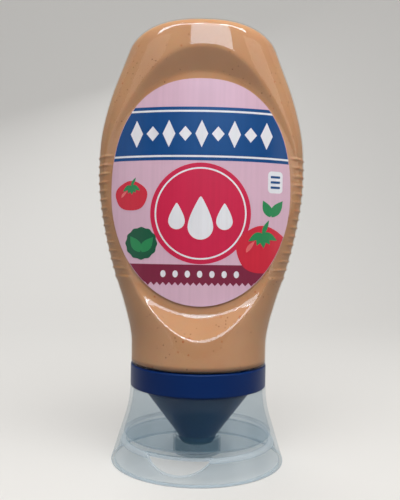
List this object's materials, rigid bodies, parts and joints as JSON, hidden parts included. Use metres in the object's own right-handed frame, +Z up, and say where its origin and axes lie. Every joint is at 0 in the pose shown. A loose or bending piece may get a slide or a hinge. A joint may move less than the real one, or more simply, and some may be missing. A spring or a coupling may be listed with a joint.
{
  "type": "squeeze bottle of tomato sauce",
  "caption": "Clear oval squeeze bottle full of tomato sauce, standing on a flared see-through flip lid, with a funnel spout and an oval front label.",
  "frame": {"origin": "middle of the circle that the closed lid's rim stands on", "axes": "+Z up along the bottle, from the lid's rim to the closed end; -Y out of the label"},
  "size_m": [0.08, 0.066, 0.1636],
  "materials": {
    "clear_bottle": "clear, glossy PET",
    "sauce": "smooth orange-tan sauce with fine dark specks",
    "label": "satin printed film",
    "closure": "moulded navy polypropylene, satin gloss",
    "lid": "hazy natural polypropylene"
  },
  "bodies": {
    "bottle": {"bottle": "clear_bottle", "sauce": "sauce", "label": "label", "closure": "closure"},
    "lid": {"lid": "lid"}
  },
  "joints": [
    {"name": "lid_hinge", "type": "hinge", "parent": "bottle", "child": "lid", "pos_m": [0.00592, 0.02563, 0.0282], "axis": [0.9744, -0.225, 0], "range_deg": [0, 130]}
  ]
}
